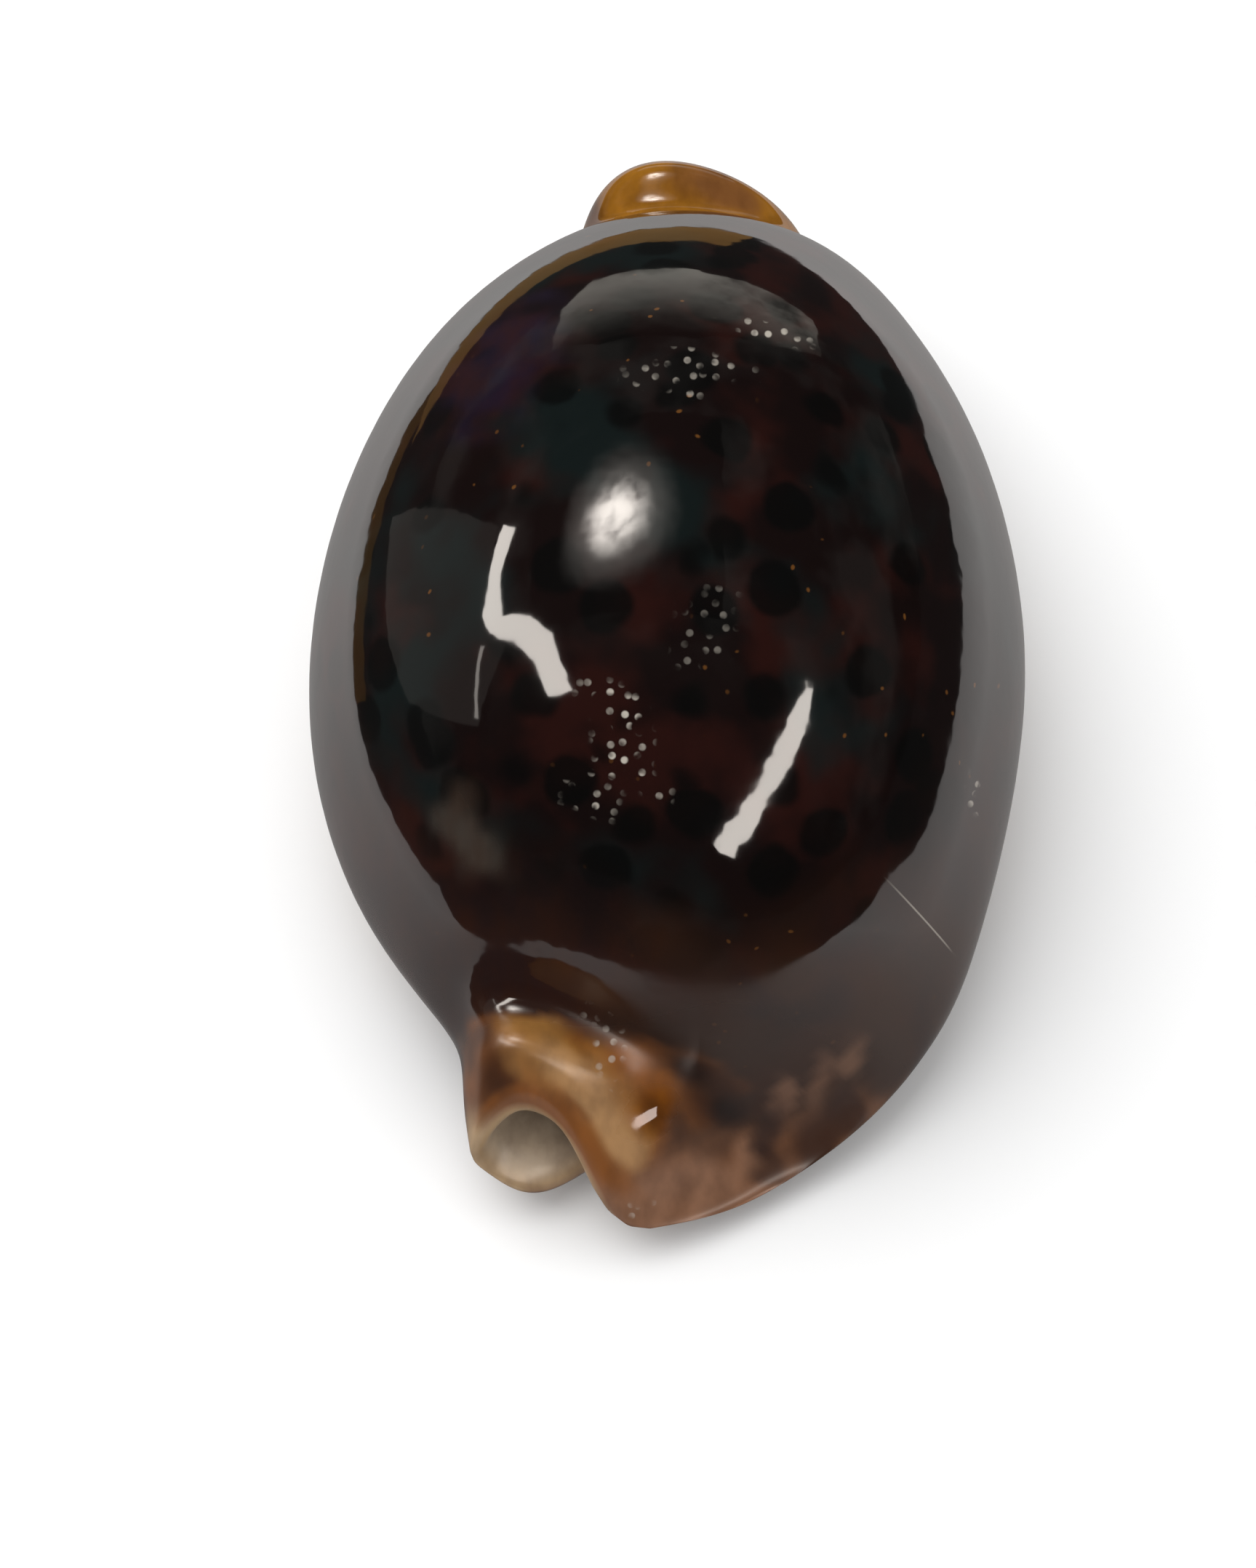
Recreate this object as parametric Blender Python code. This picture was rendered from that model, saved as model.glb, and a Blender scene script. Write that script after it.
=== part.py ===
"""Panther cowrie shell.

One closed solid, because the animal grew it as one piece: a thick, domed and polished shell, with a
toothed slit along its base and an open canal at each end.

Frame: metres, +Z up. The shell lies on its base. +Y runs to the anterior end, and +X is the side of
the outer lip. The origin is under the middle of the shell's box, on the surface that it lies on.

The wall is a sheet that wraps round the body, from the outer lip over the back to the inner lip. Its
outer face is a row of sections hung on rails that run from the posterior rim to the anterior one: the
crest of the back, the two margins and the slit. Its inner face is the same form with the wall's
thickness taken off, and the sheet's free edge is rounded.
"""

import bpy
import bmesh
import numpy as np
from math import pi, radians

MM = 0.001

# Growth stations from the posterior rim to the anterior rim, as the outer face's rails, in millimetres.
# Columns: crest of the back x, y, z; right margin x, y; left margin x, y; height of both margins;
# middle of the slit x, y, z; half the slit's width.
OUTLINE = MM * np.array([
    # The two lobes of the posterior canal and the saddle over them.
    (-7.0, -30.2, 10.4,   -1.2, -35.8,   -10.7, -31.9,    4.8,   -3.5, -30.4, 1.9,   0.4),
    (-6.7, -28.4, 13.1,    4.6, -34.4,   -10.8, -29.6,    5.0,   -3.6, -28.7, 1.5,   0.6),
    # The valley between the saddle and the back.
    (-5.9, -25.2, 12.1,   10.8, -30.5,   -11.1, -26.4,    5.7,   -3.7, -26.2, 1.0,   0.8),
    # The back, from its steep posterior slope over the highest point.
    (-4.8, -22.8, 17.4,   14.9, -25.8,   -13.5, -22.9,    6.8,   -3.4, -22.6, 0.3,   0.9),
    (-2.5, -17.5, 26.7,   17.5, -20.1,   -17.2, -17.9,    8.8,   -2.6, -17.8, -0.4,  1.0),
    (-1.0, -10.5, 31.7,   19.5, -12.0,   -19.8, -11.2,   10.0,   -1.2, -10.6, -0.9,  1.1),
    (-0.3, -1.8, 32.7,    20.4, -2.8,    -20.4, -2.4,    10.6,   -0.2, -2.0, -1.1,   1.2),
    (-0.1, 7.6, 30.6,     18.9, 7.2,     -18.3, 7.2,     11.1,   0.4, 7.4, -1.1,     1.3),
    (0.0, 15.7, 25.7,     15.9, 15.6,    -14.2, 15.6,    10.0,   0.8, 15.6, -0.8,    1.5),
    (0.6, 21.7, 19.6,     12.7, 21.8,    -9.8, 21.6,      8.2,   1.0, 22.0, -0.2,    1.6),
    # The neck and the raised lip of the anterior canal.
    (0.3, 25.6, 13.9,     10.0, 25.8,    -6.9, 25.4,      6.8,   1.0, 26.4, 0.6,     1.5),
    (0.1, 27.8, 11.8,     8.9, 27.8,     -5.6, 27.6,      6.2,   1.0, 28.6, 1.2,     1.4),
    (0.0, 29.8, 12.4,     8.1, 29.4,     -5.0, 29.4,      5.8,   1.0, 30.4, 1.5,     1.3),
    (-0.1, 31.4, 11.1,    6.6, 30.9,     -4.5, 30.9,      5.4,   0.9, 32.0, 2.0,     1.2),
])

# Thickness of the wall at the same stations, in millimetres.
# Columns: back, right margin, left margin, base, and how far the inner face stands back from the rim.
WALL = MM * np.array([
    (2.6, 3.4, 1.2, 1.5, 2.6),
    (4.2, 9.0, 1.7, 2.0, 1.4),
    (3.4, 10.0, 2.2, 2.4, 0.4),
    (3.2, 9.0, 3.0, 2.8, 0.0),
    (2.8, 7.4, 3.4, 3.2, 0.0),
    (2.3, 6.2, 3.4, 3.6, 0.0),
    (2.0, 5.6, 3.4, 3.8, 0.0),
    (2.0, 5.2, 3.4, 3.8, 0.0),
    (2.2, 5.0, 3.2, 3.6, 0.0),
    (2.6, 4.4, 2.8, 3.2, 0.0),
    (2.6, 3.6, 2.4, 2.6, 0.0),
    (2.6, 3.2, 2.2, 2.2, 0.1),
    (3.2, 3.2, 2.2, 2.2, 0.4),
    (2.8, 2.8, 2.0, 2.0, 1.0),
])

# How quickly a section goes from its left half to its right half, and from its base to its back.
SIDE_TURN = 1.05
HEIGHT_TURN = 1.8

# Where the inner face's section has its middle: its margins and crest follow the rim's setback by
# these shares, its base stands in from the slit by half of its thickness, and its centre keeps clear
# of both sides by a share of its width.
CREST_SETBACK, SLIT_SETBACK, RIGHT_SETBACK, LEFT_SETBACK = 0.4, 0.6, 0.9, 0.5
LIP_SETBACK = 0.5
CLEAR_OF_SIDES = 0.3
WIDEST_SLIT = 0.95

# The callus that swells beside the saddle, and the tongue that the left lobe puts out.
SWELL_HEIGHT = 1.2 * MM
SWELL_Y = -21.8 * MM
SWELL_REACH = 9.2 * MM
SWELL_WAY = np.array([-0.3, -0.3, 1.0])
TONGUE_LENGTH = 1.1 * MM
TONGUE_START_Y = -24.0 * MM
TONGUE_REACH = 6.0 * MM
TONGUE_WAY = np.array([-0.3, -1.0, 0.0])

# Uneven places round the valley: the angle round a section, from the crest to the right, and how far
# each reaches in angle; its place and reach along the shell; and the way that the face moves there.
UNEVEN = (
    (0.4, 0.43, -21.0 * MM, 5.6 * MM, (1.5 * MM, -2.9 * MM, -0.6 * MM)),
    (1.15, 0.83, -27.5 * MM, 3.4 * MM, (-1.3 * MM, 1.8 * MM, -3.7 * MM)),
    (-0.2, 0.5, -24.0 * MM, 2.0 * MM, (0.0, 0.0, 1.15 * MM)),
)

# Teeth along the slit: the grooves between them are cut into the two lips.
TEETH_START_Y = -26.5 * MM
TEETH_END_Y = 28.0 * MM
TEETH_FADE = 0.06
RIGHT_TEETH = 25
RIGHT_GROOVE_DEPTH = 0.55 * MM
RIGHT_GROOVE_LENGTH = 4.2 * MM
LEFT_TEETH = 22
LEFT_GROOVE_DEPTH = 0.45 * MM
LEFT_GROOVE_LENGTH = 3.0 * MM
LIP_BITE = 0.35 * MM

# Mesh density: sections along the shell, points round a section, rings and corner steps on the edge.
# The fine mesh is then thinned, so the faces that are left are small on the teeth and large elsewhere.
SECTIONS = 301
POINTS_ROUND = 61
EDGE_RINGS = 3
CORNER_STEPS = 3
END_CROWDING = 0.06
LIP_CROWDING = 0.1
KEPT_FACES = 0.12
SHARP_ANGLE = radians(40)

# Points that thinning leaves this little above the flats are pressed down onto them.
FLAT_REACH = 0.04 * MM

GLAZE_COLOUR = (0.045, 0.02, 0.012, 1)
GLAZE_ROUGHNESS = 0.12


def spline(knots, values, at):
    """Natural cubic spline through the rows of values at the knots, read at the given places."""
    count = len(knots)
    step = np.diff(knots)
    rise = np.diff(values, axis=0) / step[:, None]
    system = np.eye(count)
    target = np.zeros_like(values)
    for i in range(1, count - 1):
        system[i, i - 1:i + 2] = step[i - 1], 2 * (step[i - 1] + step[i]), step[i]
        target[i] = 6 * (rise[i] - rise[i - 1])
    bend = np.linalg.solve(system, target)
    i = np.clip(np.searchsorted(knots, at, side="right") - 1, 0, count - 2)
    width = step[i][:, None]
    after = (at - knots[i])[:, None]
    before = width - after
    curved = (bend[i] * before ** 3 + bend[i + 1] * after ** 3) / (6 * width)
    start = values[i] / width - bend[i] * width / 6
    end = values[i + 1] / width - bend[i + 1] * width / 6
    return curved + start * before + end * after


def growth_rows(count):
    """Rows of outline and wall values, spaced along the mean length of the crest and the margins."""
    rails = OUTLINE[:, 0:3], OUTLINE[:, 3:5], OUTLINE[:, 5:7]
    chords = [np.linalg.norm(np.diff(rail, axis=0), axis=1) for rail in rails]
    knots = np.concatenate([[0], np.cumsum(np.mean(chords, axis=0))])
    part = np.linspace(0, 1, count)
    crowded = part - END_CROWDING * np.sin(2 * pi * part) / (2 * pi)
    return spline(knots, np.hstack([OUTLINE, WALL]), knots[-1] * crowded)[:, None, :]


def unit(vectors):
    return vectors / np.maximum(np.linalg.norm(vectors, axis=-1, keepdims=True), 1e-12)


def groove_wave(y, turn):
    """0 on a tooth's crest and 1 in the groove beside it, fading to 0 at both ends of the row."""
    teeth = np.where(turn > 0, RIGHT_TEETH, LEFT_TEETH)
    part = (y - TEETH_START_Y) / (TEETH_END_Y - TEETH_START_Y)
    fade = np.clip(part / TEETH_FADE, 0, 1) * np.clip((1 - part) / TEETH_FADE, 0, 1)
    return fade * (0.5 - 0.5 * np.cos(2 * pi * teeth * part))


def grooves(points, turn):
    """How far each point of the outer face goes in: a smooth fall from the lip, times the wave."""
    step = np.linalg.norm(np.diff(points, axis=1), axis=-1)
    from_right = np.concatenate([np.zeros_like(step[:, :1]), np.cumsum(step, axis=1)], axis=1)
    from_lip = np.where(turn > 0, from_right, from_right[:, -1:] - from_right)
    length = np.where(turn > 0, RIGHT_GROOVE_LENGTH, LEFT_GROOVE_LENGTH)
    depth = np.where(turn > 0, RIGHT_GROOVE_DEPTH, LEFT_GROOVE_DEPTH)
    near = np.clip(1 - from_lip / length, 0, 1)
    near = near * near * (3 - 2 * near)
    outward = unit(np.cross(np.gradient(points, axis=0), np.gradient(points, axis=1)))
    return outward * (depth * near * groove_wave(points[..., 1], turn))[..., None]


def sheet(rows, turn, inner):
    """One face of the wall: sections round the body, from turn 1 at the right lip to -1 at the left.

    A section is an oval about a centre between its crest and its slit. Its half width changes from
    the left one to the right one, and its half height from the base's to the back's, as the angle
    goes round, so each section is smooth although its four quarters have different sizes.
    """
    crest, slit = rows[..., 0:3].copy(), rows[..., 8:11].copy()
    right, left = rows[..., [3, 4, 7]].copy(), rows[..., [5, 6, 7]].copy()
    back, right_wall, left_wall, base, setback = (rows[..., k] for k in range(12, 17))
    gap = rows[..., 11] + LIP_SETBACK * base + LIP_BITE * groove_wave(slit[..., 1], turn)
    if inner:
        inwards = setback * np.where(crest[..., 1] < 0, 1, -1)
        crest[..., 1] += CREST_SETBACK * inwards
        crest[..., 2] -= back
        slit[..., 1] += SLIT_SETBACK * inwards
        slit[..., 2] += base
        middle = (crest[..., 1] + slit[..., 1]) / 2
        right[..., 0] -= right_wall
        right[..., 1] = middle - RIGHT_SETBACK * inwards
        left[..., 0] += left_wall
        left[..., 1] = middle - LEFT_SETBACK * inwards
    centre = np.stack([crest[..., 0], (crest[..., 1] + slit[..., 1]) / 2, right[..., 2]], axis=-1)
    if inner:
        clear = CLEAR_OF_SIDES * (right[..., 0] - left[..., 0])
        centre[..., 0] = np.clip(crest[..., 0], left[..., 0] + clear, right[..., 0] - clear)
        centre[..., 2] = np.minimum(right[..., 2], (crest[..., 2] + slit[..., 2]) / 2)
        right[..., 2] = left[..., 2] = centre[..., 2]
    half_width = np.where(turn > 0, right[..., 0] - centre[..., 0], centre[..., 0] - left[..., 0])
    lip_angle = pi - np.arcsin(np.clip(gap / half_width, 0, WIDEST_SLIT))
    angle = (turn * lip_angle)[..., None]
    rightness = (1 + np.tanh(SIDE_TURN * angle)) / 2
    backness = (1 + np.tanh(HEIGHT_TURN * np.cos(angle))) / 2
    across = rightness * (right - centre) - (1 - rightness) * (left - centre)
    upwards = backness * (crest - centre) - (1 - backness) * (slit - centre)
    diagonal = np.sin(2 * angle) ** 2
    swell = SWELL_HEIGHT * np.exp(-((crest[..., 1:2] - SWELL_Y) / SWELL_REACH) ** 2)
    tongue = TONGUE_LENGTH * np.clip((TONGUE_START_Y - crest[..., 1:2]) / TONGUE_REACH, 0, 1)
    points = centre + np.sin(angle) * across + np.cos(angle) * upwards
    points = points + diagonal * rightness * backness * swell * SWELL_WAY
    points = points + diagonal * (1 - rightness) * (1 - backness) * tongue * TONGUE_WAY
    if not inner:
        for place, spread, y, reach, way in UNEVEN:
            near = np.exp(-((angle - place) / spread) ** 2 - ((crest[..., 1:2] - y) / reach) ** 2)
            points = points + near * np.array(way)
        # The two lips are worn flat where the shell rests, and the teeth cross that flat.
        points[..., 2] = np.maximum(points[..., 2], 0)
        points = points - grooves(points, turn)
    return points


def edge_loop(points):
    """The free edge of one face in order, each point with the direction in which the face ends."""
    posterior, anterior = unit(points[0] - points[1]), unit(points[-1] - points[-2])
    right, left = unit(points[:, 0] - points[:, 1]), unit(points[:, -1] - points[:, -2])
    share = np.linspace(0, pi / 2, CORNER_STEPS + 2)[1:-1, None]

    def corner(point, start, end):
        ways = unit(np.cos(share) * start + np.sin(share) * end)
        return np.repeat(point[None], CORNER_STEPS, axis=0), ways

    stretches = [
        (points[:, 0], right),
        corner(points[-1, 0], right[-1], anterior[0]),
        (points[-1], anterior),
        corner(points[-1, -1], anterior[-1], left[-1]),
        (points[::-1, -1], left[::-1]),
        corner(points[0, -1], left[0], posterior[-1]),
        (points[0, ::-1], posterior[::-1]),
        corner(points[0, 0], posterior[0], right[0]),
    ]
    return [np.concatenate(part) for part in zip(*stretches)]


def rounded_edge(outer, inner):
    """Rings from the outer edge to the inner one: cubic arcs that leave both faces smoothly."""
    start, leaving = edge_loop(outer)
    end, arriving = edge_loop(inner)
    chord = np.linalg.norm(end - start, axis=-1, keepdims=True)
    cosine = np.clip(-(leaving * arriving).sum(-1, keepdims=True), -1, 1)
    half_turn = np.arccos(cosine) / 2
    reach = chord * 2 / 3 * np.tan(half_turn / 2) / np.maximum(np.sin(half_turn), 1e-3)
    t = np.linspace(0, 1, EDGE_RINGS + 2)[:, None, None]
    return ((1 - t) ** 3 * start + 3 * (1 - t) ** 2 * t * (start + reach * leaving)
            + 3 * (1 - t) * t ** 2 * (end + reach * arriving) + t ** 3 * end)


def grid_faces(rows, columns, first, closed):
    """Quads over a grid of points that starts at the index first; a closed grid joins up round."""
    a = np.arange(rows - 1)[:, None] * columns + np.arange(columns if closed else columns - 1)
    b = np.roll(a, -1, axis=1) if closed else a + 1
    return first + np.stack([a, a + columns, b + columns, b], axis=-1).reshape(-1, 4)


def shell_mesh():
    rows = growth_rows(SECTIONS)
    even = np.linspace(1, -1, POINTS_ROUND)
    turn = (even + LIP_CROWDING * np.sin(pi * even))[None, :]
    outer, inner = sheet(rows, turn, False), sheet(rows, turn, True)
    edge = rounded_edge(outer, inner)
    blocks = [block.reshape(-1, 3) for block in (outer, inner, edge)]
    points = np.concatenate(blocks)
    points -= np.append((points.max(axis=0) + points.min(axis=0))[:2] / 2, points[:, 2].min())
    faces = np.concatenate([
        grid_faces(SECTIONS, POINTS_ROUND, 0, False),
        grid_faces(SECTIONS, POINTS_ROUND, len(blocks[0]), False)[:, ::-1],
        grid_faces(EDGE_RINGS + 2, edge.shape[1], len(blocks[0]) + len(blocks[1]), True),
    ])
    mesh = bpy.data.meshes.new("shell")
    mesh.from_pydata(points.tolist(), [], faces.tolist())
    weld(mesh)
    return mesh


def weld(mesh):
    """Join the edge rings to the two faces, and close the fans at the corners."""
    bm = bmesh.new()
    bm.from_mesh(mesh)
    bmesh.ops.remove_doubles(bm, verts=bm.verts, dist=0.001 * MM)
    bm.to_mesh(mesh)
    bm.free()


def thinned(fine):
    """The fine mesh with fewer faces, and the flats that it rests on pressed true again."""
    carrier = bpy.data.objects.new("fine_shell", fine)
    bpy.context.scene.collection.objects.link(carrier)
    carrier.modifiers.new("thinned", "DECIMATE").ratio = KEPT_FACES
    mesh = bpy.data.meshes.new_from_object(carrier.evaluated_get(bpy.context.evaluated_depsgraph_get()))
    bpy.data.objects.remove(carrier)
    places = np.empty(3 * len(mesh.vertices), dtype=np.float32)
    mesh.vertices.foreach_get("co", places)
    heights = places[2::3]
    heights[heights < FLAT_REACH] = 0
    mesh.vertices.foreach_set("co", places)
    return mesh


def shell_material():
    material = bpy.data.materials.new("shell")
    material.use_nodes = True
    surface = material.node_tree.nodes["Principled BSDF"]
    surface.inputs["Base Color"].default_value = GLAZE_COLOUR
    surface.inputs["Roughness"].default_value = GLAZE_ROUGHNESS
    surface.inputs["Metallic"].default_value = 0
    return material


for leftover in list(bpy.data.objects):
    bpy.data.objects.remove(leftover)

shell = bpy.data.objects.new("shell", thinned(shell_mesh()))
shell.data.shade_smooth()
shell.data.set_sharp_from_angle(angle=SHARP_ANGLE)
shell.data.materials.append(shell_material())
bpy.context.scene.collection.objects.link(shell)
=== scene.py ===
"""Panther cowrie shell: its polished form, the colours in its glaze, and a pale studio table."""

from math import pi, radians
import bpy
import bmesh
import numpy as np
from mathutils import Matrix, Vector


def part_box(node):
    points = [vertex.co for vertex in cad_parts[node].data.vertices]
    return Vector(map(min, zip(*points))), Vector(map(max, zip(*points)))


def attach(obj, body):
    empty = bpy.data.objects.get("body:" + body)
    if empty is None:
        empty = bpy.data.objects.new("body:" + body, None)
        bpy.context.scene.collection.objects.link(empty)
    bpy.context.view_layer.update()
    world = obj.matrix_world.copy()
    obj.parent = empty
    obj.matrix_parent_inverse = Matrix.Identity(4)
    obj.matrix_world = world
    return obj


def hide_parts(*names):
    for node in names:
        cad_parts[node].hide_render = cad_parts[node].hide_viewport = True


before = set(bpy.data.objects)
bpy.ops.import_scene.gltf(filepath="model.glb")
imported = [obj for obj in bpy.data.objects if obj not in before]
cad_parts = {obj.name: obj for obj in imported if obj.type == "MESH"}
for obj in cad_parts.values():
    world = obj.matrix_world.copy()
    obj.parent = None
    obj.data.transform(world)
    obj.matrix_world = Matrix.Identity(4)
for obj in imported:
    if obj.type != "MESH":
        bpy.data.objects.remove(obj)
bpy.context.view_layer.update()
MM = 0.001


# The form of the shell. The real piece is one thick sheet of aragonite that the animal wrapped round
# itself, from the outer lip over the back to the inner lip. Its outer face is a row of sections hung on
# rails (crest, two margins, slit) from the posterior rim, near the camera, to the anterior one.

# Columns: crest x, y, z; right margin x, y; left margin x, y; height of both margins; middle of the
# slit x, y, z; half the slit's width. All in millimetres.
OUTLINE = np.array([
    (-7.0, -30.2, 10.4,   -1.2, -35.8,   -10.7, -31.9,    4.8,   -3.5, -30.4, 1.9,   0.4),
    (-6.7, -28.4, 13.1,    4.6, -34.4,   -10.8, -29.6,    5.0,   -3.6, -28.7, 1.5,   0.6),
    (-5.9, -25.2, 12.1,   10.8, -30.5,   -11.1, -26.4,    5.7,   -3.7, -26.2, 1.0,   0.8),
    (-4.8, -22.8, 17.4,   14.9, -25.8,   -13.5, -22.9,    6.8,   -3.4, -22.6, 0.3,   0.9),
    (-2.5, -17.5, 26.7,   17.5, -20.1,   -17.2, -17.9,    8.8,   -2.6, -17.8, -0.4,  1.0),
    (-1.0, -10.5, 31.7,   19.5, -12.0,   -19.8, -11.2,   10.0,   -1.2, -10.6, -0.9,  1.1),
    (-0.3, -1.8, 32.7,    20.4, -2.8,    -20.4, -2.4,    10.6,   -0.2, -2.0, -1.1,   1.2),
    (-0.1, 7.6, 30.6,     18.9, 7.2,     -18.3, 7.2,     11.1,   0.4, 7.4, -1.1,     1.3),
    (0.0, 15.7, 25.7,     15.9, 15.6,    -14.2, 15.6,    10.0,   0.8, 15.6, -0.8,    1.5),
    (0.6, 21.7, 19.6,     12.7, 21.8,    -9.8, 21.6,      8.2,   1.0, 22.0, -0.2,    1.6),
    (0.3, 25.6, 13.9,     10.0, 25.8,    -6.9, 25.4,      6.8,   1.0, 26.4, 0.6,     1.5),
    (0.1, 27.8, 11.8,     8.9, 27.8,     -5.6, 27.6,      6.2,   1.0, 28.6, 1.2,     1.4),
    (0.0, 29.8, 12.4,     8.1, 29.4,     -5.0, 29.4,      5.8,   1.0, 30.4, 1.5,     1.3),
    (-0.1, 31.4, 11.1,    6.6, 30.9,     -4.5, 30.9,      5.4,   0.9, 32.0, 2.0,     1.2),
])

# Columns: the wall's thickness at the back, the right margin, the left margin and the base, and how
# far the inner face stands back from the rim, at the same stations.
WALL = np.array([
    (2.6, 3.4, 1.2, 1.5, 2.6),
    (4.2, 9.0, 1.7, 2.0, 1.4),
    (3.4, 10.0, 2.2, 2.4, 0.4),
    (3.2, 9.0, 3.0, 2.8, 0.0),
    (2.8, 7.4, 3.4, 3.2, 0.0),
    (2.3, 6.2, 3.4, 3.6, 0.0),
    (2.0, 5.6, 3.4, 3.8, 0.0),
    (2.0, 5.2, 3.4, 3.8, 0.0),
    (2.2, 5.0, 3.2, 3.6, 0.0),
    (2.6, 4.4, 2.8, 3.2, 0.0),
    (2.6, 3.6, 2.4, 2.6, 0.0),
    (2.6, 3.2, 2.2, 2.2, 0.1),
    (3.2, 3.2, 2.2, 2.2, 0.4),
    (2.8, 2.8, 2.0, 2.0, 1.0),
])

SIDE_TURN = 1.05
HEIGHT_TURN = 1.8
SWELL_HEIGHT = 1.2
SWELL_Y = -21.8
SWELL_REACH = 9.2
SWELL_WAY = np.array([-0.3, -0.3, 1.0])
TONGUE_LENGTH = 1.1
TONGUE_START_Y = -24.0
TONGUE_REACH = 6.0
TONGUE_WAY = np.array([-0.3, -1.0, 0.0])
# Uneven places round the valley: the angle round a section, from the crest to the right, and how far
# each reaches in angle; its place and reach along the shell; and the way that the face moves there.
UNEVEN = (
    (0.4, 0.43, -21.0, 5.6, (1.5, -2.9, -0.6)),
    (1.15, 0.83, -27.5, 3.4, (-1.3, 1.8, -3.7)),
    (-0.2, 0.5, -24.0, 2.0, (0.0, 0.0, 1.15)),
)
# Where the inner face ends, in shares of how far it stands back from the rim, and of the wall's
# thickness at the lips.
CREST_SETBACK, SLIT_SETBACK, RIGHT_SETBACK, LEFT_SETBACK = 0.4, 0.6, 0.9, 0.5
LIP_SETBACK = 0.5
CLEAR_OF_SIDES = 0.3
WIDEST_SLIT = 0.95
SECTIONS = 361
POINTS_ROUND = 121
END_CROWDING = 0.06
LIP_CROWDING = 0.1


def spline(knots, values, at):
    """Natural cubic spline through the rows of values at the knots, read at the given places."""
    count = len(knots)
    step = np.diff(knots)
    rise = np.diff(values, axis=0) / step[:, None]
    inside = np.arange(1, count - 1)
    system = np.eye(count)
    system[inside, inside - 1] = step[:-1]
    system[inside, inside] = 2 * (step[:-1] + step[1:])
    system[inside, inside + 1] = step[1:]
    target = np.zeros_like(values)
    target[1:-1] = 6 * np.diff(rise, axis=0)
    bend = np.linalg.solve(system, target)
    i = np.clip(np.searchsorted(knots, at, side="right") - 1, 0, count - 2)
    width = step[i][:, None]
    after = (at - knots[i])[:, None]
    before = width - after
    curved = (bend[i] * before ** 3 + bend[i + 1] * after ** 3) / (6 * width)
    start = values[i] / width - bend[i] * width / 6
    end = values[i + 1] / width - bend[i + 1] * width / 6
    return curved + start * before + end * after


def growth_rows(count):
    """Rows of outline and wall values, spaced along the mean length of the crest and the margins."""
    rails = OUTLINE[:, 0:3], OUTLINE[:, 3:5], OUTLINE[:, 5:7]
    chords = [np.linalg.norm(np.diff(rail, axis=0), axis=1) for rail in rails]
    knots = np.concatenate([[0], np.cumsum(np.mean(chords, axis=0))])
    part = np.linspace(0, 1, count)
    crowded = part - END_CROWDING * np.sin(2 * pi * part) / (2 * pi)
    return spline(knots, np.hstack([OUTLINE, WALL]), knots[-1] * crowded)[:, None, :]


def unit(vectors):
    """Each vector at length 1."""
    return vectors / np.maximum(np.linalg.norm(vectors, axis=-1, keepdims=True), 1e-12)


# The teeth. Along the slit both lips are worn to a narrow flat, and the grooves between the teeth cross
# it: 25 on the outer lip, at the right, and 22 finer ones on the inner lip.

TEETH_START_Y = -26.5
TEETH_END_Y = 28.0
TEETH_FADE = 0.06
RIGHT_TEETH = 25
RIGHT_GROOVE_DEPTH = 0.55
RIGHT_GROOVE_LENGTH = 4.2
LEFT_TEETH = 22
LEFT_GROOVE_DEPTH = 0.45
LEFT_GROOVE_LENGTH = 3.0
LIP_BITE = 0.35


def groove_wave(y, turn):
    """0 on a tooth's crest and 1 in the groove beside it, fading to 0 at both ends of the row."""
    teeth = np.where(turn > 0, RIGHT_TEETH, LEFT_TEETH)
    part = (y - TEETH_START_Y) / (TEETH_END_Y - TEETH_START_Y)
    fade = np.clip(part / TEETH_FADE, 0, 1) * np.clip((1 - part) / TEETH_FADE, 0, 1)
    return fade * (0.5 - 0.5 * np.cos(2 * pi * teeth * part))


def grooves(points, turn):
    """How far each point of the outer face goes in: a smooth fall from the lip, times the wave."""
    step = np.linalg.norm(np.diff(points, axis=1), axis=-1)
    from_right = np.concatenate([np.zeros_like(step[:, :1]), np.cumsum(step, axis=1)], axis=1)
    from_lip = np.where(turn > 0, from_right, from_right[:, -1:] - from_right)
    length = np.where(turn > 0, RIGHT_GROOVE_LENGTH, LEFT_GROOVE_LENGTH)
    depth = np.where(turn > 0, RIGHT_GROOVE_DEPTH, LEFT_GROOVE_DEPTH)
    near = np.clip(1 - from_lip / length, 0, 1)
    near = near * near * (3 - 2 * near)
    outward = unit(np.cross(np.gradient(points, axis=0), np.gradient(points, axis=1)))
    return outward * (depth * near * groove_wave(points[..., 1], turn))[..., None]


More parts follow.
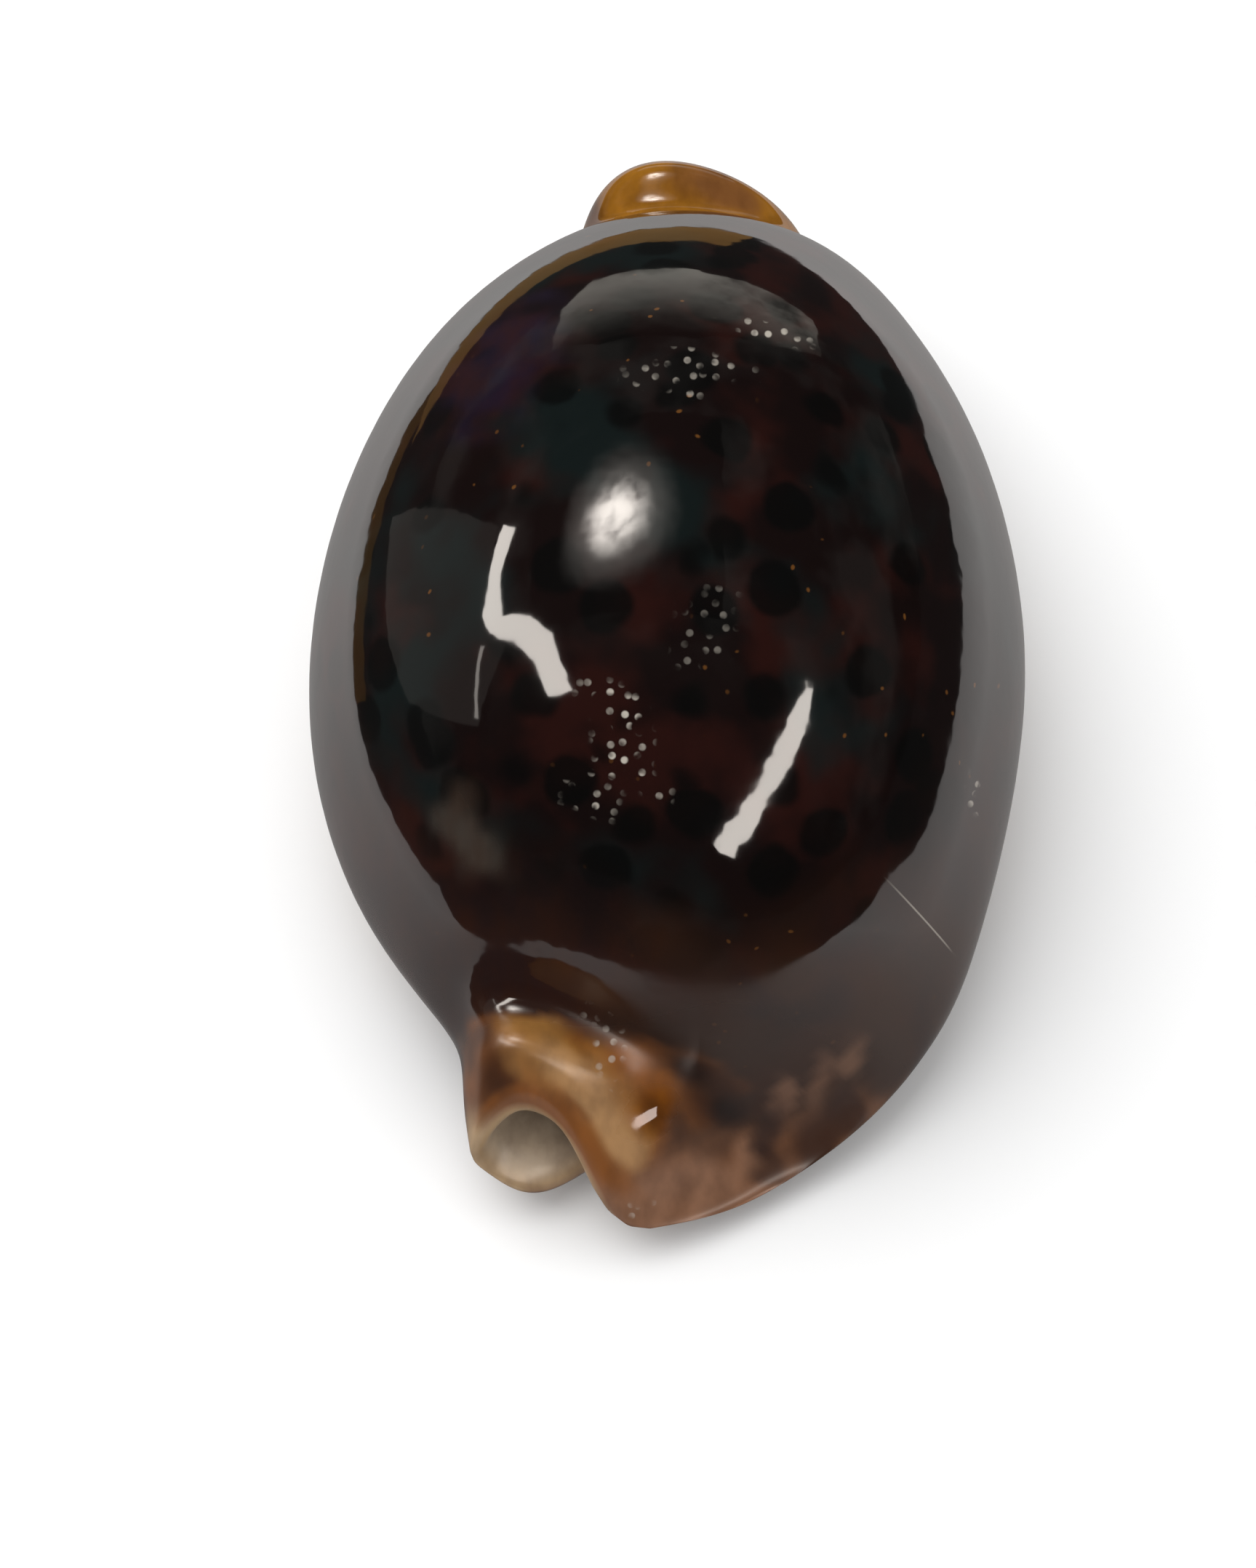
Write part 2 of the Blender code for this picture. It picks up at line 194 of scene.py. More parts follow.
def sheet(rows, turn, inner):
    """One face of the wall: sections round the body, from turn 1 at the right lip to -1 at the left.

    A section is an oval about a centre between its crest and its slit. Its half width changes from
    the left one to the right one, and its half height from the base's to the back's, as the angle
    goes round, so each section is smooth although its four quarters have different sizes.
    """
    crest, slit = rows[..., 0:3].copy(), rows[..., 8:11].copy()
    right, left = rows[..., [3, 4, 7]].copy(), rows[..., [5, 6, 7]].copy()
    back, right_wall, left_wall, base, setback = (rows[..., k] for k in range(12, 17))
    gap = rows[..., 11] + LIP_SETBACK * base + LIP_BITE * groove_wave(slit[..., 1], turn)
    if inner:
        inwards = setback * np.where(crest[..., 1] < 0, 1, -1)
        crest[..., 1] += CREST_SETBACK * inwards
        crest[..., 2] -= back
        slit[..., 1] += SLIT_SETBACK * inwards
        slit[..., 2] += base
        middle = (crest[..., 1] + slit[..., 1]) / 2
        right[..., 0] -= right_wall
        right[..., 1] = middle - RIGHT_SETBACK * inwards
        left[..., 0] += left_wall
        left[..., 1] = middle - LEFT_SETBACK * inwards
    centre = np.stack([crest[..., 0], (crest[..., 1] + slit[..., 1]) / 2, right[..., 2]], axis=-1)
    if inner:
        clear = CLEAR_OF_SIDES * (right[..., 0] - left[..., 0])
        centre[..., 0] = np.clip(crest[..., 0], left[..., 0] + clear, right[..., 0] - clear)
        centre[..., 2] = np.minimum(right[..., 2], (crest[..., 2] + slit[..., 2]) / 2)
        right[..., 2] = left[..., 2] = centre[..., 2]
    half_width = np.where(turn > 0, right[..., 0] - centre[..., 0], centre[..., 0] - left[..., 0])
    lip_angle = pi - np.arcsin(np.clip(gap / half_width, 0, WIDEST_SLIT))
    angle = (turn * lip_angle)[..., None]
    rightness = (1 + np.tanh(SIDE_TURN * angle)) / 2
    backness = (1 + np.tanh(HEIGHT_TURN * np.cos(angle))) / 2
    across = rightness * (right - centre) - (1 - rightness) * (left - centre)
    upwards = backness * (crest - centre) - (1 - backness) * (slit - centre)
    diagonal = np.sin(2 * angle) ** 2
    swell = SWELL_HEIGHT * np.exp(-((crest[..., 1:2] - SWELL_Y) / SWELL_REACH) ** 2)
    tongue = TONGUE_LENGTH * np.clip((TONGUE_START_Y - crest[..., 1:2]) / TONGUE_REACH, 0, 1)
    points = centre + np.sin(angle) * across + np.cos(angle) * upwards
    points = points + diagonal * rightness * backness * swell * SWELL_WAY
    points = points + diagonal * (1 - rightness) * (1 - backness) * tongue * TONGUE_WAY
    if not inner:
        for place, spread, y, reach, way in UNEVEN:
            near = np.exp(-((angle - place) / spread) ** 2 - ((crest[..., 1:2] - y) / reach) ** 2)
            points = points + near * np.array(way)
        # The two lips are worn flat where the shell rests, and the teeth cross that flat.
        points[..., 2] = np.maximum(points[..., 2], 0)
        points = points - grooves(points, turn)
    return points


# The rim. The sheet's free edge runs along both lips and round both canals, and the glaze covers it in
# one smooth roll from the outer face to the inner one.

EDGE_RINGS = 5
CORNER_STEPS = 4


def edge_loop(points):
    """The free edge of one face in order, each point with the direction in which the face ends."""
    posterior, anterior = unit(points[0] - points[1]), unit(points[-1] - points[-2])
    right, left = unit(points[:, 0] - points[:, 1]), unit(points[:, -1] - points[:, -2])
    share = np.linspace(0, pi / 2, CORNER_STEPS + 2)[1:-1, None]

    def corner(point, start, end):
        ways = unit(np.cos(share) * start + np.sin(share) * end)
        return np.repeat(point[None], CORNER_STEPS, axis=0), ways

    stretches = [
        (points[:, 0], right),
        corner(points[-1, 0], right[-1], anterior[0]),
        (points[-1], anterior),
        corner(points[-1, -1], anterior[-1], left[-1]),
        (points[::-1, -1], left[::-1]),
        corner(points[0, -1], left[0], posterior[-1]),
        (points[0, ::-1], posterior[::-1]),
        corner(points[0, 0], posterior[0], right[0]),
    ]
    return [np.concatenate(part) for part in zip(*stretches)]


def rounded_edge(outer, inner):
    """Rings from the outer edge to the inner one: cubic arcs that leave both faces smoothly."""
    start, leaving = edge_loop(outer)
    end, arriving = edge_loop(inner)
    chord = np.linalg.norm(end - start, axis=-1, keepdims=True)
    cosine = np.clip(-(leaving * arriving).sum(-1, keepdims=True), -1, 1)
    half_turn = np.arccos(cosine) / 2
    reach = chord * 2 / 3 * np.tan(half_turn / 2) / np.maximum(np.sin(half_turn), 1e-3)
    t = np.linspace(0, 1, EDGE_RINGS + 2)[:, None, None]
    return ((1 - t) ** 3 * start + 3 * (1 - t) ** 2 * t * (start + reach * leaving)
            + 3 * (1 - t) * t ** 2 * (end + reach * arriving) + t ** 3 * end)


def grid_faces(rows, columns, first, closed):
    """Quads over a grid of points that starts at the index first; a closed grid joins up round."""
    a = np.arange(rows - 1)[:, None] * columns + np.arange(columns if closed else columns - 1)
    b = np.roll(a, -1, axis=1) if closed else a + 1
    return first + np.stack([a, a + columns, b + columns, b], axis=-1).reshape(-1, 4)


rows = growth_rows(SECTIONS)
even = np.linspace(1, -1, POINTS_ROUND)
turn = (even + LIP_CROWDING * np.sin(pi * even))[None, :]
outer, inner = sheet(rows, turn, False), sheet(rows, turn, True)
edge = rounded_edge(outer, inner)
blocks = [block.reshape(-1, 3) for block in (outer, inner, edge)]
places = np.concatenate(blocks)
faces = np.concatenate([
    grid_faces(SECTIONS, POINTS_ROUND, 0, False),
    grid_faces(SECTIONS, POINTS_ROUND, len(blocks[0]), False)[:, ::-1],
    grid_faces(EDGE_RINGS + 2, edge.shape[1], len(blocks[0]) + len(blocks[1]), True),
])
low, high = (np.array(corner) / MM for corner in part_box("shell"))
middle = (places.max(axis=0) + places.min(axis=0)) / 2
places += np.append((low + high - 2 * middle)[:2] / 2, low[2] - places[:, 2].min())


# The ground colours. The animal's mantle laid the glaze on in many thin coats: almost black on the back,
# brown on the flanks, orange and cream on the posterior saddle and the anterior lip, and pale on the
# base, the rims and the inside. They are put on as soft dabs, each coat over the last.

UMBER = (0.006, 0.0034, 0.0032)
SOOT = (0.011, 0.0045, 0.0035)
PLUM = (0.020, 0.009, 0.008)
MOSS = (0.055, 0.045, 0.036)
VIOLET = (0.012, 0.008, 0.018)
HONEY = (0.27, 0.125, 0.030)
BROWN = (0.040, 0.015, 0.006)
BURNT = (0.038, 0.011, 0.0035)
TAN = (0.15, 0.060, 0.024)
PINK_TAN = (0.25, 0.12, 0.064)
ORANGE = (0.21, 0.064, 0.006)
CREAM = (0.40, 0.215, 0.085)
GOLD = (0.27, 0.11, 0.011)
IVORY = (0.56, 0.43, 0.28)
RIM = (0.40, 0.27, 0.15)
PEARL = (0.46, 0.36, 0.26)
WAVES = 12
WAVE_STRENGTH = 2.4
DAB_INSIDE, DAB_OUTSIDE = 0.45, 1.4
DAB_UNEVEN = 0.25


def smooth(value, start, end):
    """0 before start and 1 after end, with a smooth step between; end may lie below start."""
    part = np.clip((value - start) / (end - start), 0, 1)
    return part * part * (3 - 2 * part)


def drift(points, size, seed):
    """Slow waves through space, from about -1 to 1: the mean of sines in random directions."""
    chance = np.random.default_rng(seed)
    ways = unit(chance.normal(size=(WAVES, 3)))
    ways = ways * chance.uniform(0.7, 1.4, size=(WAVES, 1)) * 2 * pi / size
    starts = chance.uniform(0, 2 * pi, size=WAVES)
    return WAVE_STRENGTH * np.sin(points @ ways.T + starts).mean(axis=1)


def dab(points, centre, way, length, width):
    """1 in the middle of an egg of colour and 0 outside: its axis runs along way, its edge is soft."""
    reach = points - np.array(centre)
    along = reach @ unit(np.array(way, dtype=float))
    across = np.sqrt(np.maximum((reach ** 2).sum(axis=1) - along ** 2, 0))
    distance = np.sqrt((along / length) ** 2 + (across / width) ** 2)
    return smooth(distance + DAB_UNEVEN * drift(points, 2.6, 5), DAB_OUTSIDE, DAB_INSIDE)


def lay(ground, colour, share):
    """The ground with a coat of colour over it, as thick as the share says at each point."""
    return ground + (np.array(colour) - ground) * share[:, None]


margin = np.broadcast_to(rows[..., 7], outer.shape[:2]).reshape(-1)
margin = np.concatenate([margin, np.zeros(len(places) - len(margin))])
x, y, z = places.T
is_outer = np.arange(len(places)) < len(blocks[0])
below = margin - z
wander = drift(places, 7.0, 1)
fine_wander = drift(places, 2.5, 2)

# The flanks are plum and then brown towards the posterior end, and the right lobe of the canal is tan
# with plum streaks.
ground = np.tile(np.array(UMBER), (len(places), 1))
flank = smooth(y + 2.0 * wander - 0.25 * np.abs(x), -9, -19) * smooth(z + wander, 23, 15)
ground = lay(ground, PLUM, flank)
ground = lay(ground, BROWN, 0.8 * smooth(y + 1.5 * wander - 0.2 * x, -20, -28))
lobe_edge = y + 0.5 * (z - 5) - 0.3 * np.abs(x - 2) + 0.8 * wander + 0.6 * fine_wander
lobe_share = smooth(lobe_edge, -28.0, -31.0)
ground = lay(ground, TAN, lobe_share)
ground = lay(ground, PINK_TAN, 0.85 * dab(places, (0.5, -33.0, 4.4), (1, 0.2, -0.1), 6.5, 2.6))
streaks = drift(places * np.array([1.0, 0.8, 0.45]), 2.6, 9)
streak_share = smooth(streaks, 0.0, 0.7) * smooth(x + fine_wander, 2.5, 5.5) * smooth(y, -18, -26)
ground = lay(ground, PLUM, 0.75 * streak_share)
for place in ((6.4, -27.6, 6.6), (8.6, -27.0, 7.6), (4.6, -29.8, 4.6), (10.4, -25.8, 8.6)):
    ground = lay(ground, PINK_TAN, 0.55 * dab(places, place, (0.25, 0.3, 1), 1.9, 0.75))
ground = lay(ground, PLUM, 0.8 * dab(places, (5.6, -28.9, 4.4), (0.3, 0.3, 1), 1.8, 0.9))
ground = lay(ground, PINK_TAN, 0.8 * dab(places, (3.2, -31.2, 3.0), (1, 0.5, 0), 2.2, 1.0))
# A mossy patch shows on the lower left of the back, and a violet one on its upper left.
moss_share = dab(places, (-10.6, -18.4, 21.2), (0.5, -1, -0.6), 3.2, 2.0)
ground = lay(ground, MOSS, 0.9 * moss_share)
violet_share = dab(places, (-9.0, 6.5, 28.4), (0.3, 1, -0.3), 6.0, 4.0)
ground = lay(ground, VIOLET, violet_share)

# The saddle is an orange field with a burnt upper edge, a broad cream stripe down its middle, and burnt
# patches at its right and on the outside of the left lobe.
on_saddle = smooth(y + 0.18 * (x + 8.4) + 0.25 * fine_wander, -24.6, -25.3)
saddle_share = on_saddle * dab(places, (-3.4, -28.6, 10.6), (1, -0.5, 0), 8.0, 4.6)
ground = lay(ground, ORANGE, saddle_share)
SADDLE_PATCHES = (
    (BURNT, 0.9, (-3.6, -25.5, 12.0), (1, -0.18, -0.1), 6.8, 1.1),
    (BURNT, 0.8, (2.4, -27.6, 9.0), (0.5, -0.4, -0.8), 3.2, 1.3),
    (SOOT, 0.85, (1.0, -27.0, 9.6), (0.6, -0.3, -0.5), 1.8, 0.9),
    (SOOT, 0.85, (3.4, -28.2, 6.4), (0.6, -0.3, -0.5), 1.6, 0.9),
    (BURNT, 0.75, (-9.2, -28.2, 10.6), (0.2, 0.5, 0.8), 2.6, 1.1),
    (HONEY, 0.95, (-6.6, -27.0, 12.2), (0.75, -0.65, -0.1), 3.2, 1.9),
    (HONEY, 0.7, (-3.4, -29.8, 9.6), (0.5, -0.6, -0.7), 4.2, 1.9),
    (CREAM, 0.75, (-5.4, -28.2, 11.6), (0.75, -0.65, -0.1), 2.2, 1.1),
    (CREAM, 0.9, (-4.0, -29.4, 10.4), (0.6, -0.65, -0.5), 2.4, 1.1),
    (CREAM, 0.9, (-2.6, -30.8, 8.0), (0.35, -0.5, -0.8), 2.4, 1.1),
    (BURNT, 0.6, (-0.7, -29.3, 8.6), (0.3, -0.4, -0.7), 1.1, 0.7),
    (BURNT, 0.5, (1.9, -28.7, 7.4), (0.3, -0.4, -0.7), 1.1, 0.7),
    (BURNT, 0.5, (-0.6, -27.0, 10.8), (0.3, -0.4, -0.7), 1.1, 0.7),
    (ORANGE, 0.8, (-4.6, -30.6, 8.8), (0.5, -0.5, -0.8), 3.4, 0.7),
    (ORANGE, 0.8, (-7.4, -29.8, 9.8), (1, -0.1, 0.1), 2.0, 0.7),
    (ORANGE, 0.7, (-2.7, -32.3, 6.4), (0.6, -0.3, -0.8), 2.4, 0.8),
)
for tint, share, *egg in SADDLE_PATCHES:
    ground = lay(ground, tint, share * on_saddle * dab(places, *egg))

# The anterior lip is gold, paler at its right and dark red-brown at its lower left.
ground = lay(ground, BURNT, smooth(y + 0.8 * wander, 22.5, 26.0))
ground = lay(ground, GOLD, smooth(y + 0.6 * wander + 0.5 * fine_wander, 25.6, 27.8))
ground = lay(ground, TAN, 0.75 * dab(places, (3.4, 30.2, 11.6), (1, -0.2, -0.2), 3.4, 1.6))
ground = lay(ground, BURNT, 0.85 * dab(places, (-4.4, 28.8, 9.6), (0.2, 1, -0.5), 2.4, 1.4))

# Below the margins the coats thin out to tan, and then to the ivory of the base.
sunk = below + 0.9 * wander + 0.5 * fine_wander
ground = lay(ground, BROWN, smooth(sunk, 2.5, 4.5) * is_outer)
ground = lay(ground, TAN, 0.8 * smooth(sunk, 4.0, 6.5) * is_outer)
ground = lay(ground, IVORY, smooth(sunk, 5.5, 9.0) * is_outer)

# The canals' rims are pale on the left lobe and orange elsewhere, and the inside is pearly.
row_steps = np.linalg.norm(np.diff(outer, axis=0), axis=-1)
from_start = np.concatenate([np.zeros((1, POINTS_ROUND)), np.cumsum(row_steps, axis=0)])
to_rim = np.minimum(from_start, from_start[-1] - from_start).reshape(-1)
to_rim = np.concatenate([to_rim, np.zeros(len(places) - len(to_rim))])
posterior = smooth(y, 0, -10)
left_lobe = smooth(x, -7.2, -8.6) * smooth(z, 9.5, 7.0)
ground = lay(ground, RIM, smooth(to_rim, 2.4, 0.3) * left_lobe * posterior)
orange_rim = smooth(to_rim, 0.9, 0.2) * posterior * (1 - left_lobe) * smooth(z, 3, 7)
ground = lay(ground, ORANGE, 0.6 * orange_rim)
inside = np.concatenate([
    np.zeros(len(blocks[0])),
    np.ones(len(blocks[1])),
    np.repeat(np.linspace(0, 1, EDGE_RINGS + 2), edge.shape[1]),
])
ground = lay(ground, RIM, smooth(inside, 0.15, 0.5))
ground = lay(ground, PEARL, smooth(inside, 0.5, 0.8))

# How much of the back's dark pattern shows, and where its pale flecks lie.
pattern = is_outer * smooth(sunk, 4.0, 1.0) * (1 - lobe_share) * smooth(y, 27.0, 25.0)
pattern = pattern * (1 - 0.75 * flank) * (1 - 0.7 * moss_share) * (1 - 0.7 * violet_share)
pattern = pattern * (1 - on_saddle * dab(places, (-3.4, -28.6, 10.8), (1, -0.5, 0), 8.6, 5.2))
FLECK_CLUSTERS = (
    (0.9, (-2.3, -15.6, 27.2), (0.3, -1, -0.5), 2.9, 1.7),
    (0.7, (-3.8, -18.2, 24.8), (1, 0.2, 0), 1.8, 1.0),
    (0.45, (1.0, 3.8, 31.8), (1, 0.2, 0), 2.8, 1.7),
    (0.8, (6.2, 7.6, 29.6), (1, -0.3, -0.3), 2.4, 0.9),
    (0.25, (2.4, -10.8, 30.2), (0.5, 1, 0), 3.4, 1.2),
    (0.5, (-3.1, -26.6, 11.4), (0.15, -1, -0.3), 2.6, 0.9),
    (0.6, (16.8, -14.2, 17.4), (0, 0.3, 1), 1.4, 0.7),
    (0.4, (-1.9, -33.1, 4.0), (1, 0, 0), 1.6, 0.8),
)
clusters = [strength * smooth(dab(places, *egg), 0.35, 0.6) for strength, *egg in FLECK_CLUSTERS]
flecked = np.max(clusters, axis=0)

# The back is polished hardest. The saddle and the lobes are a little duller, but for one worn spot.
canal_rims = smooth(to_rim, 2.5, 1.5) * posterior
dulled = np.max([saddle_share, smooth(y, -23.5, -26), canal_rims, smooth(inside, 0, 0.3)], axis=0)
dulled = dulled * (1 - dab(places, (-1.0, -29.4, 8.6), (0.6, 0.3, 0.1), 1.7, 1.2))

# One hairline scratch crosses the right flank.
SCRATCH_START = np.array([12.6, -20.6, 17.9])
SCRATCH_END = np.array([15.3, -21.0, 12.5])
scratched = dab(places, (SCRATCH_START + SCRATCH_END) / 2, SCRATCH_END - SCRATCH_START, 3.6, 1.0)

mesh = bpy.data.meshes.new("cowrie_shell")
mesh.from_pydata((places * MM).tolist(), [], faces.tolist())
ground_data = mesh.attributes.new("ground", "FLOAT_COLOR", "POINT")
ground_data.data.foreach_set("color", np.hstack([ground, np.ones((len(places), 1))]).ravel())
shares = {"pattern": pattern, "flecked": flecked, "dulled": dulled, "scratched": scratched}
for name, values in shares.items():
    mesh.attributes.new(name, "FLOAT", "POINT").data.foreach_set("value", values)
bm = bmesh.new()
bm.from_mesh(mesh)
bmesh.ops.remove_doubles(bm, verts=bm.verts, dist=0.001 * MM)
bm.to_mesh(mesh)
bm.free()
mesh.shade_smooth()
shell = bpy.data.objects.new("cowrie_shell", mesh)
bpy.context.scene.collection.objects.link(shell)
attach(shell, "root")
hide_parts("shell")


# The glaze. Over the ground colours lie soft maroon and grey-green clouds, round dark spots, a few
# orange specks and clusters of pale flecks, all under a hard polish that is not quite even.

MAROON = (0.017, 0.0052, 0.0042)
SLATE = (0.0054, 0.0080, 0.0078)
INK = (0.0025, 0.0026, 0.0025)
SPECK = (0.10, 0.040, 0.010)
FLECK = (0.46, 0.42, 0.36)
GLAZE_IOR = 1.53
RIPPLE_HEIGHT = 0.03 * MM
SCRATCH_HALF_WIDTH = 0.07 * MM
# The way that the shell's face looks at the scratch.
SCRATCH_FACING = (0.68, -0.62, 0.39)
DULL_ROUGHNESS = 0.30


def feed(tree, socket, value):
    """Link the socket if the value is another socket, else set it."""
    if isinstance(value, bpy.types.NodeSocket):
        tree.links.new(value, socket)
    else:
        socket.default_value = value


def add(tree, kind, settings, **inputs):
    """A shader node with its settings, and its inputs fed by name."""
    node = tree.nodes.new("ShaderNode" + kind)
    for name, value in settings.items():
        setattr(node, name, value)
    for name, value in inputs.items():
        feed(tree, node.inputs[name.replace("_", " ")], value)
    return node


def mixed(tree, share, first, second):
    """The first colour where the share is 0 and the second where it is 1."""
    node = tree.nodes.new("ShaderNodeMix")
    node.data_type = "RGBA"
    a, b = (value if isinstance(value, bpy.types.NodeSocket) else (*value, 1) for value in (first, second))
    for index, value in ((0, share), (6, a), (7, b)):
        feed(tree, node.inputs[index], value)
    return node.outputs[2]


def stepped(tree, value, start, end, top=1.0):
    """0 before start and top after end, with a smooth step between."""
    node = add(tree, "MapRange", {"interpolation_type": "SMOOTHSTEP"}, Value=value)
    for index, number in enumerate((start, end, 0.0, top), start=1):
        node.inputs[index].default_value = number
    return node.outputs[0]


def summed(tree, first, second):
    """Two vectors added."""
    node = tree.nodes.new("ShaderNodeVectorMath")
    feed(tree, node.inputs[0], first)
    feed(tree, node.inputs[1], second)
    return node.outputs[0]


def times(tree, first, second):
    """Two numbers multiplied."""
    node = tree.nodes.new("ShaderNodeMath")
    node.operation = "MULTIPLY"
    feed(tree, node.inputs[0], first)
    feed(tree, node.inputs[1], second)
    return node.outputs[0]


def clouds(tree, place, size, seed, detail=2.0):
    """Noise whose features are about size millimetres across."""
    settings = {"noise_dimensions": "4D"}
    return add(tree, "TexNoise", settings, Vector=place, W=seed, Scale=0.7 / (size * MM), Detail=detail)


def dots(tree, place, spacing, uneven, dimensions="3D"):
    """Distance to the nearest of many points that lie about spacing millimetres apart, in spacings."""
    settings = {"voronoi_dimensions": dimensions}
    cells = add(tree, "TexVoronoi", settings, Vector=place, Scale=1 / (spacing * MM), Randomness=uneven)
    return cells.outputs["Distance"]


glaze = bpy.data.materials.new("spotted_glaze")
glaze.use_nodes = True
tree = glaze.node_tree
surface = tree.nodes["Principled BSDF"]
place = add(tree, "TexCoord", {}).outputs["Object"]
ground_colour = add(tree, "Attribute", {"attribute_name": "ground"}).outputs["Color"]
pattern_share = add(tree, "Attribute", {"attribute_name": "pattern"}).outputs["Fac"]
fleck_share = add(tree, "Attribute", {"attribute_name": "flecked"}).outputs["Fac"]
dull_share = add(tree, "Attribute", {"attribute_name": "dulled"}).outputs["Fac"]

push = add(tree, "VectorMath", {"operation": "SCALE"})
feed(tree, push.inputs[0], clouds(tree, place, 2.2, 3.0).outputs["Color"])
push.inputs["Scale"].default_value = 1.4 * MM
pushed = summed(tree, place, push.outputs[0])

maroon_share = stepped(tree, clouds(tree, place, 4.5, 1.0, 3.0).outputs[0], 0.46, 0.62)
slate_share = stepped(tree, clouds(tree, place, 6.0, 7.0, 3.0).outputs[0], 0.50, 0.64)
dark = mixed(tree, maroon_share, UMBER, MAROON)
dark = mixed(tree, slate_share, dark, SLATE)
dark = mixed(tree, stepped(tree, dots(tree, pushed, 3.8, 0.9), 0.46, 0.32, 0.85), dark, INK)
speck_place = summed(tree, pushed, (7 * MM, 3 * MM, 0))
speck_dots = stepped(tree, dots(tree, speck_place, 1.8, 1.0), 0.10, 0.05)
speck_here = stepped(tree, clouds(tree, place, 8.0, 61.0).outputs[0], 0.50, 0.60)
dark = mixed(tree, times(tree, speck_dots, speck_here), dark, SPECK)
streaky = add(tree, "Mapping", {}, Vector=place, Scale=(1, 0.8, 0.4)).outputs[0]
grain = stepped(tree, clouds(tree, streaky, 1.2, 51.0, 4.0).outputs[0], 0.35, 0.75, 0.45)
grained = mixed(tree, grain, ground_colour, BURNT)
colour = mixed(tree, pattern_share, grained, dark)
# The flecks lie in rough rows, laid out on a plane that faces the steep posterior slope of the back.
slant = add(tree, "Mapping", {}, Vector=place, Rotation=(-radians(30), 0, 0)).outputs[0]
fleck_dots = stepped(tree, dots(tree, slant, 0.84, 0.7, "2D"), 0.28, 0.17)
fleck_kept = stepped(tree, clouds(tree, place, 0.8, 88.0).outputs[0], 0.40, 0.60)
fleck_dots = times(tree, times(tree, fleck_dots, fleck_share), fleck_kept)
colour = mixed(tree, fleck_dots, colour, FLECK)
scratch_share = add(tree, "Attribute", {"attribute_name": "scratched"}).outputs["Fac"]
across_scratch = Vector(np.cross(SCRATCH_END - SCRATCH_START, SCRATCH_FACING)).normalized()
offset = add(tree, "VectorMath", {"operation": "DOT_PRODUCT"})
feed(tree, offset.inputs[0], place)
offset.inputs[1].default_value = across_scratch
offset = add(tree, "Math", {"operation": "SUBTRACT"}, Value=offset.outputs["Value"])
offset.inputs[1].default_value = across_scratch.dot(Vector(SCRATCH_START)) * MM
offset = add(tree, "Math", {"operation": "ABSOLUTE"}, Value=offset.outputs[0]).outputs[0]
scratch_line = times(tree, stepped(tree, offset, SCRATCH_HALF_WIDTH, 0.02 * MM, 0.5), scratch_share)
colour = mixed(tree, scratch_line, colour, FLECK)
feed(tree, surface.inputs["Base Color"], colour)
uneven_polish = add(tree, "MapRange", {}, Value=clouds(tree, place, 4.0, 20.0, 4.0).outputs[0])
for name, number in (("From Min", 0.3), ("From Max", 0.8), ("To Min", 0.03), ("To Max", 0.08)):
    uneven_polish.inputs[name].default_value = number
roughness = add(tree, "MapRange", {}, Value=dull_share)
feed(tree, roughness.inputs["To Min"], uneven_polish.outputs[0])
roughness.inputs["To Max"].default_value = DULL_ROUGHNESS
feed(tree, surface.inputs["Roughness"], roughness.outputs[0])
surface.inputs["IOR"].default_value = GLAZE_IOR
ripple = add(tree, "Bump", {}, Strength=1.0, Distance=RIPPLE_HEIGHT,
             Height=clouds(tree, place, 2.0, 31.0, 2.0).outputs[0])
feed(tree, surface.inputs["Normal"], ripple.outputs[0])
mesh.materials.append(glaze)


# The table: a plain pale top. The shell's polish mirrors only 130 by 109 mm of it round the shell,
# because a dark surround that only mirrored rays meet lies on it from there on.

SHEET_LEFT, SHEET_RIGHT, SHEET_NEAR, SHEET_FAR = -52, 78, -48, 61
SURROUND_REACH = FLOOR_REACH = 3000
# Sheets that lie on one another are this far apart or more.
LAYER = 0.1
WOOD_BROWN = (0.5, 0.27, 0.09)


def flat_piece(name, corners, polygons=None):
    """A flat piece of the set, with its corners in millimetres."""
    flat = bpy.data.meshes.new(name)
    flat.from_pydata((MM * np.array(corners)).tolist(), [], polygons or [tuple(range(len(corners)))])
    piece = bpy.data.objects.new(name, flat)
    bpy.context.scene.collection.objects.link(piece)
    return piece


def card(name, corners, strength, colour=(1, 1, 1), polygons=None):
    """A flat piece that gives off light of its own, and that only mirrored rays meet."""
    piece = flat_piece(name, corners, polygons)
    piece.visible_camera = piece.visible_diffuse = piece.visible_shadow = False
    piece.visible_transmission = piece.visible_volume_scatter = False
    lamp = bpy.data.materials.new(name)
    lamp.use_nodes = True
    lamp.node_tree.nodes.remove(lamp.node_tree.nodes["Principled BSDF"])
    light = add(lamp.node_tree, "Emission", {}, Strength=strength, Color=(*colour, 1))
    feed(lamp.node_tree, lamp.node_tree.nodes["Material Output"].inputs["Surface"], light.outputs[0])
    piece.data.materials.append(lamp)
    return piece


def rectangle(left, right, near, far, height):
    """Four corners of a level rectangle."""
    return [(left, near, height), (right, near, height), (right, far, height), (left, far, height)]


floor = flat_piece("pale_floor", rectangle(-FLOOR_REACH, FLOOR_REACH, -FLOOR_REACH, FLOOR_REACH, 0))
paper = bpy.data.materials.new("pale_paper")
paper.use_nodes = True
paper_surface = paper.node_tree.nodes["Principled BSDF"]
paper_surface.inputs["Base Color"].default_value = (0.88, 0.88, 0.88, 1)
paper_surface.inputs["Roughness"].default_value = 0.9
paper_surface.inputs["Specular IOR Level"].default_value = 0.1
floor.data.materials.append(paper)

